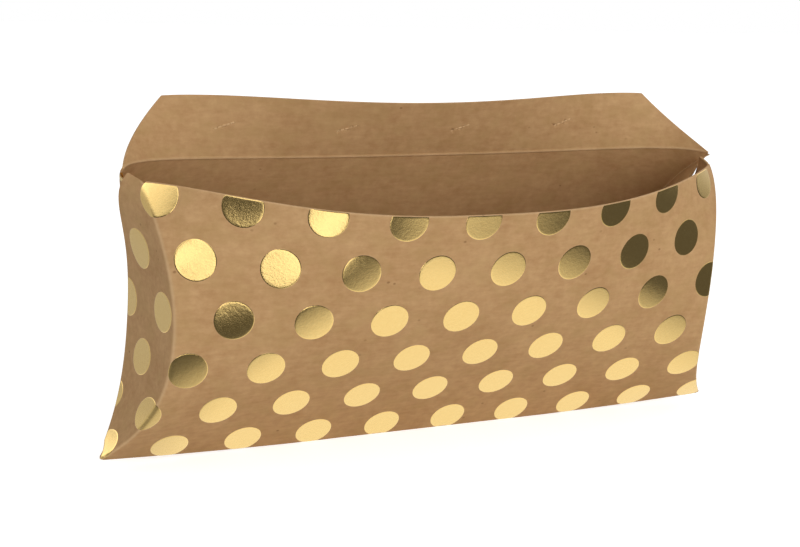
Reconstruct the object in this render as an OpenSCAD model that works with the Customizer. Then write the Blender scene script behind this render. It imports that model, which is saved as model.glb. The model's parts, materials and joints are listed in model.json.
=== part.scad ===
// Favor box folded from one card blank, with foil dots on its outer face.
// It stands on its bottom fold with its long top side pulled open.
// X runs along the bottom fold, -Y is the front and +Z is up.
// The origin is the middle of the fold's underside.

/* [Card] */
// Length of the box along its bottom fold
box_l = 174; // [130:1:230]
// Height of the back panel on the flat blank
back_h = 78; // [62:1:100]
// How far below the back panel's top score the front panel is cut
rim_drop = 5.8; // [3:0.2:10]
// How much higher that cut edge stands at its ends
rim_rise = 1.5; // [0:0.1:2]
// Thickness of the card
card_t = 0.45; // [0.3:0.05:0.6]
// Width of card on each side of a crease that bends with it
fold_w = 0.8; // [0.6:0.1:1.5]

/* [Closure flap] */
// Height of the closure flap above its score
flap_h = 15; // [10:0.5:22]
// How much shorter the flap's top edge is at each end
flap_taper = 17; // [8:0.5:24]
// Lean of the flap's middle away from upright, forward is negative
flap_lean_middle = -24; // [-30:1:10]
// Lean of the flap at the box's ends
flap_lean_end = 39; // [0:1:50]
// Distance between the perforated marks
perf_pitch = 31.75; // [20:0.25:38]
// How far the middle of their row is from the middle of the flap, to the right
perf_shift = -5.1; // [-8:0.1:8]
// Length of one perforated mark
perf_l = 5.6; // [3:0.1:9]
// Slant of a mark from the score
perf_slant = 18; // [0:1:60]
// Height of the marks above the score
perf_h = 7.7; // [5:0.1:10]

/* [End flaps] */
// How far a curved end crease is set in from the corner line at its middle
crease_inset = 13.2; // [9:0.1:17]
// How far an outer end flap's free edge bulges past the corner line
outer_bulge = 12.4; // [8:0.1:16]
// How far an inner end flap's free edge bulges past the corner line
inner_bulge = 7; // [4:0.5:9]
// Outward lean of the outer end flaps
outer_lean = 7.5; // [4:0.5:14]
// Inward lean of the inner end flaps
inner_lean = 20; // [16:1:26]
// Length cut off the bottom tip of an outer end flap
outer_trim = 6.5; // [3:0.5:8]
// Length cut off its top tip, which reaches past the front panel's rim
outer_top_trim = 1.2; // [1:0.1:4]
// Length cut off each tip of an inner end flap
inner_trim = 12; // [10:0.5:18]

/* [Opened shape] */
// How far the front panel bulges between its two long edges
front_bulge = 15.8; // [10:0.1:18]
// How far the back panel bulges between its two long edges
back_bulge = 16; // [10:0.5:18]
// How far the front panel's top is pulled forward at its middle
front_pull = 37.4; // [24:0.2:42]
// How far the back panel's top is pushed back at its middle
back_push = 16.8; // [8:0.2:20]
// How far the ends of the bottom fold curl forward
fold_curl = 4; // [0:0.2:8]
// How far the back panel's top corners curl forward
top_curl = 8.8; // [4:0.2:12]
// How far the front panel's top corners are pulled forward
corner_pull = 4; // [0:0.2:6]
// Extra bulge of the front panel's ends below mid-height
end_fullness = 2.4; // [0:0.2:4]
// Extra bulge of the front panel's middle above mid-height
middle_fullness = 1; // [0:0.2:2]
// How far the ends of the bottom fold lift
fold_lift = 2.8; // [1:0.1:5]

/* [Foil dots] */
// Diameter of a dot
dot_d = 9.5; // [6:0.25:12]
// Distance between dots in a row
dot_pitch = 19.05; // [14:0.05:26]
// Distance between rows
row_pitch = 13.15; // [12.6:0.05:20]
// Distance of the lowest row from the bottom fold
first_row = 4.8; // [2:0.1:6.5]
// Distance of that row's first dot from the left corner line
first_dot = 17.05; // [0:0.05:19]
// Height of the foil above the card
foil_proud = 0.08; // [0.04:0.01:0.12]
// Depth that the foil is pressed into the card
foil_sunk = 0.12; // [0.08:0.01:0.15]

/* [Hidden] */

FRONT = -1;
BACK = 1;
LEFT = -1;
RIGHT = 1;

half_l = box_l / 2;
front_h = back_h - rim_drop;
dot_r = dot_d / 2;
// Running gap between a fold and a panel that moves on it
hinge_gap = 0.14;
// How much wider the bent card along the flap's score is at its ends, where it curls
score_spread = 3;
// Distance used to measure a slope
probe = 0.02;
// Height of the bead raised along the flap's score
bead_h = 0.25;
// Depth to which the underside of the bottom fold is worn flat
land_depth = 0.12;
// Width of one perforation, and the part of a mark that is cut
perf_w = 0.45;
perf_cut_share = 0.6;
perfs_in_mark = 5;
marks = 4;
overrun = 1;

// How sharply each bend gathers at its ends, as powers of the share of length or height
curl_power = 2.75;
spread_power = 6;
spread_fade = 12;
rim_power = 4;
front_round = 2.6;
front_rise = 2.4;
back_round = 5.1;
back_rise = 1.45;

// Counts of facets and steps, and how much closer the columns stand at a panel's ends
front_columns = 35;
back_columns = 29;
flap_rows = 3;
end_rows = 18;
end_columns = 3;
end_gather = 0.3;
// Height of a panel's rows at most
row_gap = 5;
walk_steps = 8;
fold_steps = 3;
ring_points = 12;
halvings = 11;

kraft = [0.74, 0.59, 0.42];
kraft_dark = [0.68, 0.53, 0.37];
gold = [0.93, 0.74, 0.36];

// Plain helpers
function total(list) = list * [for (entry = list) 1];
function mean(list) = [for (entry = list) 1] * list / len(list);
function unit(vector) = vector / norm(vector);
function share(value, whole) = abs(value) / whole;
function even(list, count) = [for (k = [0:count]) list[0] + (list[1] - list[0]) * k / count];
function stepped(stops, gap) = [
    stops[0],
    for (k = [1:len(stops) - 1])
        let (steps = ceil((stops[k] - stops[k - 1]) / gap))
        for (i = [1:steps]) stops[k - 1] + (stops[k] - stops[k - 1]) * i / steps
];
function gathered(reach, count) =
    [for (t = even([-1, 1], count)) reach * t * (1 + end_gather * (1 - t * t))];

// Inset of a circular arc from its chord, which runs from 0 to back_h
function arc_inset(v, depth) =
    let (half = back_h / 2, radius = (half * half + depth * depth) / (2 * depth))
    sqrt(max(0, radius * radius - pow(v - half, 2))) - (radius - depth);

// Half of a panel's length between its end creases at height v
function panel_reach(v) = half_l - arc_inset(v, crease_inset);
fold_reach = panel_reach(fold_w) - fold_w;

// Height of the fold line above the ground, where the card's outer skin rests
front_slope = PI * (front_bulge - 2 * middle_fullness) / back_h;
back_slope = (PI * back_bulge - top_curl) / back_h;
function skin_height(near, far) =
    let (t = 1 / fold_steps)
    fold_w * ((1 - t) * (1 - t) * sqrt(1 - near * near) + t * t * sqrt(1 - far * far))
    - card_t / 2 * ((1 - t) * near + t * far);
fold_h = -land_depth
    - max(skin_height(front_slope, back_slope), skin_height(back_slope, front_slope));

// The bent sheets: u runs along the blank, v is the height above the bottom fold
function fold_y(u) = -fold_curl * pow(share(u, half_l), curl_power);
function fold_z(u) = fold_lift * pow(share(u, half_l), curl_power);
function front_y(u, v) =
    let (rise = share(v, back_h))
    fold_y(u) - front_bulge * sin(180 * rise)
    - front_pull * pow(rise, front_rise) * (1 - pow(share(u, half_l), front_round))
    - corner_pull * pow(rise * share(u, half_l), 2)
    - (end_fullness * pow(share(u, half_l), 2) - middle_fullness) * sin(360 * rise);
function back_y(u, v) =
    let (rise = share(v, back_h))
    fold_y(u) * (1 - rise) - top_curl * rise + back_bulge * sin(180 * rise)
    + back_push * pow(rise, back_rise) * (1 - pow(share(u, half_l), back_round));
function sheet_y(side, u, v) = side == FRONT ? front_y(u, v) : back_y(u, v);

// Length left in one direction after a walk in equal steps along the card
function walked(depths, step) =
    total([for (k = [1:walk_steps]) sqrt(max(0, step * step - pow(depths[k] - depths[k - 1], 2)))]);
function sheet_x(side, u, v) =
    let (step = abs(u) / walk_steps)
    sign(u) * walked([for (k = [0:walk_steps]) sheet_y(side, k * step, v)], step);
function sheet_z(side, u, v) =
    let (step = v / walk_steps)
    fold_h + fold_z(u)
    + walked([for (k = [0:walk_steps]) sheet_y(side, u, k * step)], step);
function sheet_point(side, u, v) = [sheet_x(side, u, v), sheet_y(side, u, v), sheet_z(side, u, v)];
function sheet_normal(side, u, v) =
    let (
        along = sheet_point(side, u + probe, v) - sheet_point(side, u - probe, v),
        up = sheet_point(side, u, v + probe) - sheet_point(side, u, max(0, v - probe))
    )
    side * unit(cross(up, along));

// The closure flap: w is the height above its score
function flap_lean(u) =
    flap_lean_middle + (flap_lean_end - flap_lean_middle) * pow(share(u, half_l), 2);
function flap_point(u, w) =
    sheet_point(BACK, u, back_h) + w * [0, sin(flap_lean(u)), cos(flap_lean(u))];
function flap_normal(u, w) =
    unit(cross(flap_point(u, w + probe) - flap_point(u, w),
        flap_point(u + probe, w) - flap_point(u - probe, w)));
function flap_reach(w) = fold_reach - flap_taper * w / flap_h;

// The end flaps: w is the distance past the crease
function end_direction(side, end) =
    side == FRONT ? [end * sin(outer_lean), cos(outer_lean), 0]
    : [-end * sin(inner_lean), -cos(inner_lean), 0];
function end_crease(side, end, v) = sheet_point(side, end * panel_reach(v), v);
function end_point(side, end, w, v) = end_crease(side, end, v) + w * end_direction(side, end);
function end_normal(side, end, v) =
    let (
        up = end_crease(side, end, v + probe) - end_crease(side, end, v - probe),
        across = unit(cross(up, end_direction(side, end)))
    )
    across * sign(across.x) * end;
function end_width(side, v) =
    arc_inset(v, crease_inset) + arc_inset(v, side == FRONT ? outer_bulge : inner_bulge);
function end_trim(side) = side == FRONT ? outer_trim : inner_trim;
function end_top(side) = back_h - (side == FRONT ? outer_top_trim : inner_trim);

// Toward its ends the back panel stops lower, below the bent card of the flap's
// score. end_share is 0 in the middle of the panel and 1 at its end.
back_top = back_h - fold_w;
score_reach = panel_reach(back_top - score_spread) - fold_w;
function row_height(side, v, end_share) =
    side == FRONT ? v + rim_rise * pow(end_share, rim_power) * pow(v / front_h, spread_fade)
    : v - score_spread * pow(end_share, spread_power) * pow(v / back_top, spread_fade);
function row_reach(side, v) = panel_reach(row_height(side, v, 1)) - fold_w;

// Heights of a panel's rows of points, which its end folds share
function panel_rows(side) =
    side == FRONT ? stepped([fold_w + hinge_gap, end_trim(side), front_h], row_gap)
    : stepped([fold_w, end_trim(side), end_top(side), back_top], row_gap);

// The card around a point: its outer face, or its inner face where face is -1
function off_sheet(side, u, v, rise) = sheet_point(side, u, v) + sheet_normal(side, u, v) * rise;
function off_flap(u, w, rise) = flap_point(u, w) + flap_normal(u, w) * rise;
function off_end(side, end, w, v, rise) =
    end_point(side, end, w, v) + end_normal(side, end, v) * rise;

// A closed plate between two grids of points that lie over each other
module plate(top, bottom) {
    rows = len(top);
    columns = len(top[0]);
    count = rows * columns;
    right = top[0][1] - top[0][0];
    up = top[1][0] - top[0][0];
    turned = cross(right, up) * (top[0][0] - bottom[0][0]) < 0;
    function at(row, column, layer) = layer * count + row * columns + column;
    function quad(a, b, c, d) = [[a, b, c], [a, c, d]];
    shape = concat(
        [for (r = [0:rows - 2], c = [0:columns - 2])
            each quad(at(r, c, 0), at(r + 1, c, 0), at(r + 1, c + 1, 0), at(r, c + 1, 0))],
        [for (r = [0:rows - 2], c = [0:columns - 2])
            each quad(at(r, c, 1), at(r, c + 1, 1), at(r + 1, c + 1, 1), at(r + 1, c, 1))],
        [for (c = [0:columns - 2])
            each quad(at(0, c, 0), at(0, c + 1, 0), at(0, c + 1, 1), at(0, c, 1))],
        [for (c = [0:columns - 2])
            each quad(at(rows - 1, c, 0), at(rows - 1, c, 1), at(rows - 1, c + 1, 1),
                at(rows - 1, c + 1, 0))],
        [for (r = [0:rows - 2])
            each quad(at(r, 0, 0), at(r, 0, 1), at(r + 1, 0, 1), at(r + 1, 0, 0))],
        [for (r = [0:rows - 2])
            each quad(at(r, columns - 1, 0), at(r + 1, columns - 1, 0), at(r + 1, columns - 1, 1),
                at(r, columns - 1, 1))]
    );
    polyhedron(
        concat([for (row = top) each row], [for (row = bottom) each row]),
        turned ? [for (face = shape) [face[0], face[2], face[1]]] : shape
    );
}

// A panel's card, between the fold at its foot and its top edge
module panel(side, columns) {
    function layer(rise) = [for (v = panel_rows(side))
        [for (t = gathered(1, columns))
            off_sheet(side, t * row_reach(side, v), row_height(side, v, abs(t)), rise)]];
    plate(layer(card_t / 2), layer(-card_t / 2));
}

module back_panel() {
    color(kraft) panel(BACK, back_columns);
}

module front_panel() {
    color(kraft) panel(FRONT, front_columns);
}

// A crease: card bent round the line between one panel's edge and the next panel's
function bent(a, b, c, t) = (1 - t) * (1 - t) * a + 2 * t * (1 - t) * b + t * t * c;
function crease_row(a, b, c, rise_a, rise_c, bead) =
    [for (t = even([0, 1], fold_steps))
        bent(a, b, c, t) + ((1 - t) * rise_a + t * rise_c) * (1 + bead * 4 * t * (1 - t))];

module bottom_fold() {
    function row(u, rise) =
        let (
            place = crease_row(
                sheet_point(FRONT, u, fold_w), sheet_point(FRONT, u, 0), sheet_point(BACK, u, fold_w),
                sheet_normal(FRONT, u, fold_w) * rise, sheet_normal(BACK, u, fold_w) * rise, 0)
        )
        [for (p = place) [p.x, p.y, max(0, p.z)]];
    across = gathered(fold_reach, front_columns);
    color(kraft_dark) plate(
        [for (u = across) row(u, card_t / 2)],
        [for (u = across) row(u, -card_t / 2)]
    );
}

module flap_fold() {
    function row(t, rise, bead) =
        let (panel_v = row_height(BACK, back_top, abs(t)), flap_u = t * flap_reach(fold_w))
        crease_row(
            sheet_point(BACK, t * score_reach, panel_v),
            sheet_point(BACK, t * fold_reach, back_h),
            flap_point(flap_u, fold_w),
            sheet_normal(BACK, t * score_reach, panel_v) * rise,
            flap_normal(flap_u, fold_w) * rise, bead);
    across = gathered(1, back_columns);
    color(kraft) plate(
        [for (t = across) row(t, card_t / 2, 0)],
        [for (t = across) row(t, -card_t / 2, 2 * bead_h / card_t)]
    );
}

// Along an end crease the card turns into the end flap. Beyond the flap's tips
// it only goes on to the crease, where the blank is cut.
module end_fold(side, end) {
    function row(level, rise) =
        let (
            v = row_height(side, level, 1),
            inner_u = end * row_reach(side, level),
            on_tip = level < end_trim(side) || level > end_top(side),
            skin = sheet_normal(side, inner_u, v) * rise
        )
        crease_row(
            sheet_point(side, inner_u, v),
            end_crease(side, end, v),
            end_point(side, end, on_tip ? 0 : fold_w, v),
            skin, on_tip ? skin : end_normal(side, end, v) * rise, 0);
    color(kraft_dark) plate(
        [for (level = panel_rows(side)) row(level, card_t / 2)],
        [for (level = panel_rows(side)) row(level, -card_t / 2)]
    );
}

module left_outer_fold() { end_fold(FRONT, LEFT); }
module right_outer_fold() { end_fold(FRONT, RIGHT); }
module left_inner_fold() { end_fold(BACK, LEFT); }
module right_inner_fold() { end_fold(BACK, RIGHT); }

module end_flap(side, end) {
    function layer(rise) = [for (v = even([end_trim(side), end_top(side)], end_rows))
        [for (w = even([fold_w + hinge_gap, end_width(side, v)], end_columns))
            off_end(side, end, w, v, rise)]];
    color(kraft_dark) plate(layer(card_t / 2), layer(-card_t / 2));
}

module left_outer_end_flap() { end_flap(FRONT, LEFT); }
module right_outer_end_flap() { end_flap(FRONT, RIGHT); }
module left_inner_end_flap() { end_flap(BACK, LEFT); }
module right_inner_end_flap() { end_flap(BACK, RIGHT); }

// A row of short cuts along a slanted line, seen from the flap's inner face
module perforated_mark(u) {
    along = unit(flap_point(u + probe, perf_h) - flap_point(u - probe, perf_h));
    out = flap_normal(u, perf_h);
    up = cross(along, out);
    place = flap_point(u, perf_h);
    cut = perf_l / perfs_in_mark;
    multmatrix([
        [along.x, out.x, -up.x, place.x],
        [along.y, out.y, -up.y, place.y],
        [along.z, out.z, -up.z, place.z],
        [0, 0, 0, 1]
    ])
        rotate([0, perf_slant, 0])
            for (k = [0:perfs_in_mark - 1])
                translate([(k - (perfs_in_mark - 1) / 2) * cut, 0, 0])
                    cube([cut * perf_cut_share, overrun, perf_w], center = true);
}

module closure_flap() {
    foot = fold_w + hinge_gap;
    function layer(rise) = [for (w = even([foot, flap_h], flap_rows))
        [for (u = gathered(flap_reach(w), back_columns)) off_flap(u, w, rise)]];
    color(kraft) difference() {
        plate(layer(card_t / 2), layer(-card_t / 2));
        for (k = [0:marks - 1]) perforated_mark(perf_shift + (k - (marks - 1) / 2) * perf_pitch);
    }
}

// Foil dots. The pattern runs over the flat blank, so a dot that a crease crosses
// is cut there and goes on across the next panel. A zone says which points of the
// blank lie on a panel, clear of its folds.
foil_edge = fold_w + hinge_gap;
function panel_top(side, u) =
    side == FRONT ? row_height(FRONT, front_h, share(u, half_l))
    : row_height(BACK, back_top, share(u, score_reach)) - hinge_gap;
function on_panel(p, side) =
    p[1] > foil_edge && p[1] < panel_top(side, p[0]) && abs(p[0]) < panel_reach(p[1]) - foil_edge;
function on_flap(p) = p[1] > foil_edge && p[1] < flap_h && abs(p[0]) < flap_reach(p[1]);
function past_crease(p, end) = end * p[0] - panel_reach(p[1]);
function on_end(p, side, end) =
    p[1] > end_trim(side) && p[1] < end_top(side)
    && past_crease(p, end) > foil_edge && past_crease(p, end) < end_width(side, p[1]);

// Centres of the pattern on the blank, as seen from one panel's own foot
lattice_rows = ceil((back_h + flap_h) / row_pitch) + 1;
lattice_columns = ceil(box_l / dot_pitch) + 2;
columns_before = 2;
function dot_centres(side, lift) = [
    for (j = [-lattice_rows:lattice_rows], i = [-columns_before:lattice_columns])
        [
            first_dot - half_l + (i - abs(j % 2) / 2) * dot_pitch,
            -side * (first_row + j * row_pitch) - lift
        ]
];

// Points spread over a dot in rings, to find where it lies on its zone
sample_rings = 3;
first_ring_points = 6;
samples = [[0, 0], for (ring = [1:sample_rings], k = [0:first_ring_points * ring - 1])
    let (turn = 360 * k / (first_ring_points * ring))
    ring / sample_rings * [cos(turn), sin(turn)]];
least_dot_share = 0.12;
dot_margin_share = 0.97;

function dot_edge(zone, centre, from, way, near, far, left) =
    let (middle = (near + far) / 2, p = from + way * middle)
    left == 0 ? near
    : norm(p - centre) < dot_r && zone(p) ? dot_edge(zone, centre, from, way, middle, far, left - 1)
    : dot_edge(zone, centre, from, way, near, middle, left - 1);
function dot_ring(zone, centre, from) = [for (k = [0:ring_points - 1])
    let (way = [cos(360 * k / ring_points), sin(360 * k / ring_points)])
    from + way * dot_edge(zone, centre, from, way, 0, 2 * dot_r, halvings)];

module foil_dots(centres, zone, place) {
    for (centre = centres) {
        held = [for (s = samples)
            let (p = centre + s * dot_r * dot_margin_share) if (zone(p)) p];
        if (len(held) > least_dot_share * len(samples)) foil_dot(centre, mean(held), zone, place);
    }
}

module foil_dot(centre, from, zone, place) {
    if (zone(from)) {
        ring = dot_ring(zone, centre, from);
        layers = [card_t / 2 + foil_proud, card_t / 2 - foil_sunk];
        points = [for (rise = layers) each concat([place(from, rise)], [for (p = ring) place(p, rise)])];
        n = ring_points + 1;
        turned = cross(points[2] - points[0], points[1] - points[0]) * (points[0] - points[n]) < 0;
        shape = [for (k = [1:ring_points]) let (next = k % ring_points + 1) each [
            [0, next, k], [n, n + k, n + next], [k, next, n + next], [k, n + next, n + k]
        ]];
        polyhedron(points, turned ? shape : [for (face = shape) [face[0], face[2], face[1]]]);
    }
}

module panel_foil(side) {
    color(gold) foil_dots(
        dot_centres(side, 0),
        function (p) on_panel(p, side),
        function (p, rise) off_sheet(side, p[0], p[1], rise)
    );
}

module front_foil() { panel_foil(FRONT); }
module back_foil() { panel_foil(BACK); }

module flap_foil() {
    color(gold) foil_dots(
        dot_centres(BACK, back_h),
        function (p) on_flap(p),
        function (p, rise) off_flap(p[0], p[1], rise)
    );
}

module end_foil(side, end) {
    color(gold) foil_dots(
        dot_centres(side, 0),
        function (p) on_end(p, side, end),
        function (p, rise) off_end(side, end, past_crease(p, end), p[1], rise)
    );
}

module left_outer_foil() { end_foil(FRONT, LEFT); }
module right_outer_foil() { end_foil(FRONT, RIGHT); }
module left_inner_foil() { end_foil(BACK, LEFT); }
module right_inner_foil() { end_foil(BACK, RIGHT); }

back_panel();
front_panel();
bottom_fold();
closure_flap();
flap_fold();
left_outer_end_flap();
right_outer_end_flap();
left_outer_fold();
right_outer_fold();
left_inner_end_flap();
right_inner_end_flap();
left_inner_fold();
right_inner_fold();
front_foil();
back_foil();
flap_foil();
left_outer_foil();
right_outer_foil();
left_inner_foil();
right_inner_foil();
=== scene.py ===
"""Dress the favor box in kraft card and stamped foil, in a plain white studio."""

import json
import logging
import math
from collections.abc import Callable, Iterable
from dataclasses import dataclass, field
from enum import Enum

import bpy
import numpy as np
from mathutils import Matrix, Vector

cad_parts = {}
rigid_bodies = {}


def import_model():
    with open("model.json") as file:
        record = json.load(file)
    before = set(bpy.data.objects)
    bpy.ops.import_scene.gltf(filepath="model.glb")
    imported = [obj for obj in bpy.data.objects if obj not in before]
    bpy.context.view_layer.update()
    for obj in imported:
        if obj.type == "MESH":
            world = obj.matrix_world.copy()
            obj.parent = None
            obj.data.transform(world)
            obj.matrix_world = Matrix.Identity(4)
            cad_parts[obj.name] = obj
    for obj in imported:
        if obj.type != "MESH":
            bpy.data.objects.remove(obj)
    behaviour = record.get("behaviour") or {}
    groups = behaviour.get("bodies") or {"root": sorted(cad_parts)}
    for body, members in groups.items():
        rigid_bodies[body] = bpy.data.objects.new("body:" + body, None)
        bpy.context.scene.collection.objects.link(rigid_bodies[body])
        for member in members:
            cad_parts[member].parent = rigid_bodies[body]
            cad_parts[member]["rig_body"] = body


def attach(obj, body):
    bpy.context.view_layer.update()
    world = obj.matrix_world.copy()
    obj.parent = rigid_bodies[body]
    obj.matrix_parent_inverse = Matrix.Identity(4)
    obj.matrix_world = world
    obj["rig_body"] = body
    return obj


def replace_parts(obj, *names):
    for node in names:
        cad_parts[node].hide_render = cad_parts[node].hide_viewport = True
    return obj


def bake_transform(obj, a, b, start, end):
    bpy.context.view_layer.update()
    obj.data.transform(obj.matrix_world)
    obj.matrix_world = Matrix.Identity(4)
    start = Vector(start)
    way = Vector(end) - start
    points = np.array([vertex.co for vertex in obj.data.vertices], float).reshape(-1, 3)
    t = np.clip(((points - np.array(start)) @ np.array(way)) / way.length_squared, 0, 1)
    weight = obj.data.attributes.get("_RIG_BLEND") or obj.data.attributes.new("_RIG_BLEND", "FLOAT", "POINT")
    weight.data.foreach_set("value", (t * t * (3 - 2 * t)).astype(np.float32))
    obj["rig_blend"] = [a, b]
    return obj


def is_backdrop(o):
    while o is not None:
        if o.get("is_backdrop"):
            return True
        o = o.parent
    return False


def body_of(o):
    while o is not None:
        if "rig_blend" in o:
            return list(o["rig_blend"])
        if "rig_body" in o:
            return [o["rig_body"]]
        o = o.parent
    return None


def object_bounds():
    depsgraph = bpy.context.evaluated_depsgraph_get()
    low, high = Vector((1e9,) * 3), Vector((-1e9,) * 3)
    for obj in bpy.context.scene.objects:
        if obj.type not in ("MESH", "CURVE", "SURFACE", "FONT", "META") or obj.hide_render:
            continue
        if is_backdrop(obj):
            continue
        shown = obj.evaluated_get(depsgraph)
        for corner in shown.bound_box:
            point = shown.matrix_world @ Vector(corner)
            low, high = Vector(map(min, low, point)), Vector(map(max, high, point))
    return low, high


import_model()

log = logging.getLogger("favor_box")

Triple = tuple[float, float, float]
Colour = Triple
Zone = Callable[[np.ndarray, np.ndarray], np.ndarray]
Faces = list[tuple[int, ...]]


def tone(red: int, green: int, blue: int) -> Colour:
    """Turn a colour of 0 to 255 into the linear one that a shader takes.

    Args:
        red: Red, 0 to 255.
        green: Green, 0 to 255.
        blue: Blue, 0 to 255.

    Returns:
        The linear colour.
    """
    def linear(level: float) -> float:
        """Undo the display's curve for one channel."""
        return level / 12.92 if level <= 0.04045 else ((level + 0.055) / 1.055) ** 2.4

    return linear(red / 255), linear(green / 255), linear(blue / 255)


class Side(Enum):
    """The two large panels of the box, with the sign of Y that each faces."""

    FRONT = -1
    BACK = 1


class End(Enum):
    """The two ends of the box, with the sign of X that each lies at."""

    LEFT = -1
    RIGHT = 1


@dataclass(frozen=True)
class Blank:
    """The card blank bent into the opened box. Lengths are in metres, leans in degrees."""

    box_length: float = 0.174
    back_height: float = 0.078
    rim_drop: float = 0.0058
    rim_rise: float = 0.0015
    rim_power: float = 4.0
    rim_fade: float = 12.0
    card: float = 0.00045
    fold: float = 0.0008
    score: float = 0.0004
    fold_height: float = -0.0003736
    flap_height: float = 0.015
    flap_taper: float = 0.017
    lean_middle: float = -24.0
    lean_end: float = 39.0
    crease_inset: float = 0.0132
    outer_bulge: float = 0.0124
    inner_bulge: float = 0.007
    outer_lean: float = 7.5
    inner_lean: float = 20.0
    outer_trim: float = 0.003
    tip_rise: float = 0.0016
    tip_width: float = 0.0033
    left_tip_lean: float = 38.0
    right_tip_lean: float = 6.0
    inner_trim: float = 0.012
    inner_top_trim: float = 0.0055
    front_bulge: float = 0.0158
    back_bulge: float = 0.016
    front_pull: float = 0.0374
    back_push: float = 0.0168
    fold_curl: float = 0.004
    fold_lift: float = 0.0028
    top_curl: float = 0.0088
    corner_pull: float = 0.004
    end_fullness: float = 0.0024
    middle_fullness: float = 0.001
    curl_power: float = 2.75
    front_round: float = 2.6
    front_rise: float = 2.4
    back_round: float = 5.1
    back_rise: float = 1.45
    tip_ease: float = 0.0025
    steps: int = 8
    probe: float = 0.00002

    @property
    def half(self) -> float:
        """Half of the box's length."""
        return self.box_length / 2

    @property
    def front_height(self) -> float:
        """Height of the front panel on the flat blank."""
        return self.back_height - self.rim_drop

    def arc_inset(self, v: np.ndarray, depth: float) -> np.ndarray:
        """Inset of a circular arc from its chord.

        Args:
            v: Heights along the chord, which runs from 0 to the back panel's height.
            depth: Inset at the middle.

        Returns:
            The inset at each height.
        """
        middle = self.back_height / 2
        radius = (middle**2 + depth**2) / (2 * depth)
        return np.sqrt(np.maximum(0, radius**2 - (v - middle) ** 2)) - (radius - depth)

    def reach(self, v: np.ndarray) -> np.ndarray:
        """Half of a panel's length between its end creases."""
        return self.half - self.arc_inset(v, self.crease_inset)

    def rim(self, end_share: np.ndarray, v: np.ndarray | float) -> np.ndarray:
        """Height of the front panel's row of points that is v high in the middle.

        Args:
            end_share: Place along the row, 0 in the middle and 1 at its end.
            v: The row's height in the middle.

        Returns:
            The row's height there. The topmost row is the cut rim.
        """
        fade = (np.asarray(v) / self.front_height) ** self.rim_fade
        return v + self.rim_rise * np.abs(end_share) ** self.rim_power * fade

    def fold_reach(self) -> float:
        """Half of the length of the long folds."""
        return float(self.reach(np.array(self.fold))) - self.fold

    def depth(self, side: Side, u: np.ndarray, v: np.ndarray) -> np.ndarray:
        """Y of the bent sheet at a point of the blank."""
        along = np.abs(u) / self.half
        rise = np.abs(v) / self.back_height
        curl = -self.fold_curl * along**self.curl_power
        if side is Side.FRONT:
            pull = (self.front_pull * rise**self.front_rise * (1 - along**self.front_round)
                    + self.corner_pull * (rise * along) ** 2)
            fullness = self.end_fullness * along**2 - self.middle_fullness
            return (curl - self.front_bulge * np.sin(np.pi * rise) - pull
                    - fullness * np.sin(2 * np.pi * rise))
        push = self.back_push * rise**self.back_rise * (1 - along**self.back_round)
        return (curl * (1 - rise) - self.top_curl * rise
                + self.back_bulge * np.sin(np.pi * rise) + push)

    def sheet(self, side: Side, u: np.ndarray, v: np.ndarray) -> np.ndarray:
        """Middle of the card of a large panel.

        Args:
            side: The panel.
            u: Places along the blank, 0 in the middle.
            v: Heights above the bottom fold on the flat blank.

        Returns:
            Points, one for each place.
        """
        u, v = np.broadcast_arrays(u, v)
        across, up = np.abs(u) / self.steps, v / self.steps
        width = np.zeros(u.shape)
        height = np.zeros(u.shape)
        for k in range(1, self.steps + 1):
            sideways = self.depth(side, k * across, v) - self.depth(side, (k - 1) * across, v)
            upward = self.depth(side, u, k * up) - self.depth(side, u, (k - 1) * up)
            width += np.sqrt(np.maximum(0, across**2 - sideways**2))
            height += np.sqrt(np.maximum(0, up**2 - upward**2))
        lift = self.fold_lift * (np.abs(u) / self.half) ** self.curl_power
        return np.stack([np.sign(u) * width, self.depth(side, u, v),
                         self.fold_height + lift + height], -1)

    def flap(self, u: np.ndarray, w: np.ndarray) -> np.ndarray:
        """Middle of the closure flap's card, w above its score."""
        lean = np.radians(self.lean_middle
                          + (self.lean_end - self.lean_middle) * (np.abs(u) / self.half) ** 2)
        way = np.stack([0 * lean, np.sin(lean), np.cos(lean)], -1)
        return self.sheet(Side.BACK, u, np.full_like(u, self.back_height)) + w[..., None] * way

    def flap_reach(self, w: np.ndarray) -> np.ndarray:
        """Half of the closure flap's length, w above its score."""
        return self.fold_reach() - self.flap_taper * np.clip(w, 0, None) / self.flap_height

    def end_way(self, side: Side, sign: np.ndarray, v: np.ndarray) -> np.ndarray:
        """Direction in which an end flap leaves its crease.

        Args:
            side: The large panel that it hangs on.
            sign: -1 at the left end and 1 at the right one.
            v: Heights on the flat blank. The left outer flap's top bends out to the back
                corner, as in the photograph.

        Returns:
            Unit vectors, one for each place.
        """
        middle = self.back_height / 2
        tip = np.clip(v / middle - 1, 0, 1) ** 4
        more = np.where(sign < 0, self.left_tip_lean, self.right_tip_lean) * tip
        lean = np.radians(self.outer_lean + more if side is Side.FRONT
                          else np.full_like(tip, self.inner_lean))
        turn = -side.value
        return np.stack([turn * sign * np.sin(lean), turn * np.cos(lean), 0 * lean], -1)

    def end_width(self, side: Side, v: np.ndarray) -> np.ndarray:
        """Width of an end flap past its crease."""
        bulge = self.outer_bulge if side is Side.FRONT else self.inner_bulge
        full = self.arc_inset(v, self.crease_inset) + self.arc_inset(v, bulge)
        trim = self.outer_trim if side is Side.FRONT else self.inner_trim
        share = self.rounded(v - trim)
        if side is Side.BACK:
            share = np.minimum(share, self.rounded(self.back_height - self.inner_top_trim - v))
        return np.maximum(full, 0) * share

    def rounded(self, past: np.ndarray) -> np.ndarray:
        """Share of an end flap's width that is left where its tip is rounded off."""
        return np.clip((past + self.tip_ease) / (2 * self.tip_ease), 0, 1) ** 0.5

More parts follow.
